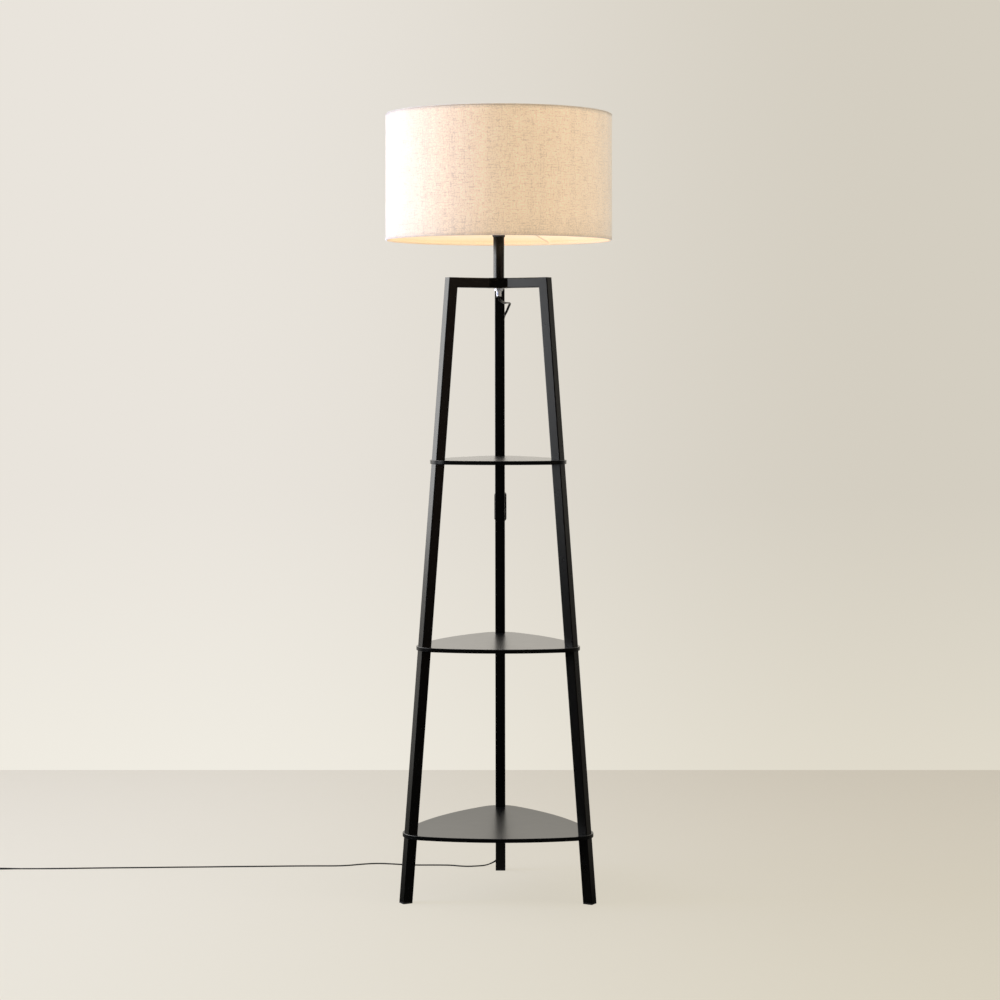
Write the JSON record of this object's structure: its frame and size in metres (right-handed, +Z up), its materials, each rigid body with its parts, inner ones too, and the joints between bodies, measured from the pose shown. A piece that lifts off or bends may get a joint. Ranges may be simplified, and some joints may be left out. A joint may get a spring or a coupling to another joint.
{
  "type": "shelf floor lamp",
  "caption": "Floor lamp on a black tapering tripod frame with bowed triangular shelves, a linen drum shade, a screw-in bulb and a flat cord with an inline rocker switch and a plug.",
  "frame": {"origin": "on the floor, on the axis of the post and of the shade", "axes": "+Z up; the front is -Y; the rear leg stands on +Y, the other two at -X and +X in front; the cord leaves to -X"},
  "size_m": [1.3538, 0.4838, 1.542],
  "materials": {
    "frame_black": "satin black powder coat",
    "shelf_black": "black lacquered board, satin",
    "inner_plastic": "moulded, matt",
    "zinc": "zinc plated",
    "holder_black": "moulded, semi gloss",
    "holder_insert_white": "white glazed",
    "brass": "plain",
    "bulb_glass_frosted": "frosted inside",
    "bulb_stem_clear": "clear",
    "bulb_metal": "nickel plated",
    "bulb_insulator_dark": "dark glass",
    "shade_linen": "oatmeal linen with slubs",
    "shade_backing": "translucent film",
    "shade_wire": "white painted wire",
    "cord_black": "soft, satin",
    "switch_black": "moulded, fine grain"
  },
  "bodies": {
    "frame": {"arm_left": "frame_black", "arm_rear": "frame_black", "arm_right": "frame_black", "hub": "frame_black", "post": "frame_black", "leg_left_foot": "frame_black", "leg_left_lower": "frame_black", "leg_left_upper": "frame_black", "leg_left_top": "frame_black", "leg_rear_foot": "frame_black", "leg_rear_lower": "frame_black", "leg_rear_upper": "frame_black", "leg_rear_top": "frame_black", "leg_right_foot": "frame_black", "leg_right_lower": "frame_black", "leg_right_upper": "frame_black", "leg_right_top": "frame_black", "shelf_lower": "shelf_black", "shelf_middle": "shelf_black", "shelf_upper": "shelf_black", "leg_end_plugs": "inner_plastic", "leg_top_caps": "inner_plastic", "foot_pads": "inner_plastic", "leg_joint_studs": "zinc", "lock_nut": "zinc", "lock_washer": "zinc", "lower_nipple": "zinc", "upper_nipple": "zinc", "post_bushes": "zinc", "terminal_screws": "zinc", "switch_screws": "zinc", "holder_base": "holder_black", "holder_skirt": "holder_black", "holder_insert": "holder_insert_white", "holder_screw_shell": "brass", "holder_centre_contact": "brass", "switch_contacts": "brass", "plug_pins": "bulb_metal", "cord_inner": "cord_black", "cord_upper": "cord_black", "cord_lower": "cord_black", "cord_coil": "cord_black", "plug_strain_relief": "cord_black", "plug_body": "cord_black", "switch_back": "switch_black", "switch_front": "switch_black"},
    "shade": {"shade_cover": "shade_linen", "shade_liner": "shade_backing", "shade_top_rim": "shade_wire", "shade_bottom_rim": "shade_wire", "shade_spider": "shade_wire"},
    "clamping_ring": {"shade_clamping_ring": "holder_black"},
    "bulb_travel": {"bulb_tip_contact": "bulb_metal"},
    "bulb": {"bulb_glass": "bulb_glass_frosted", "bulb_cap": "bulb_metal", "bulb_insulator": "bulb_insulator_dark", "bulb_stem": "bulb_stem_clear", "bulb_filament": "bulb_metal"},
    "rocker": {"switch_rocker": "switch_black"}
  },
  "joints": [
    {"name": "shade_turn", "type": "hinge", "parent": "frame", "child": "shade", "pos_m": [0, 0, 1.3418], "axis": [0, 0, 1], "continuous": true},
    {"name": "clamping_ring_turn", "type": "hinge", "parent": "frame", "child": "clamping_ring", "pos_m": [0, 0, 1.347], "axis": [0, 0, 1], "range_deg": [0, 360]},
    {"name": "bulb_climb", "type": "slide", "parent": "frame", "child": "bulb_travel", "axis": [0, 0, 1], "range_m": [0, 0.01448]},
    {"name": "bulb_turn", "type": "hinge", "parent": "bulb_travel", "child": "bulb", "pos_m": [0, 0, 1.38], "axis": [0, 0, 1], "range_deg": [0, 1440]},
    {"name": "rocker_tilt", "type": "hinge", "parent": "frame", "child": "rocker", "pos_m": [0.0005, 0.16673, 0.75468], "axis": [1, 0, 0], "range_deg": [0, 16]}
  ],
  "couplings": [
    {"joint": "bulb_climb", "follows": "bulb_turn", "m_per_rad": 0.000576}
  ]
}
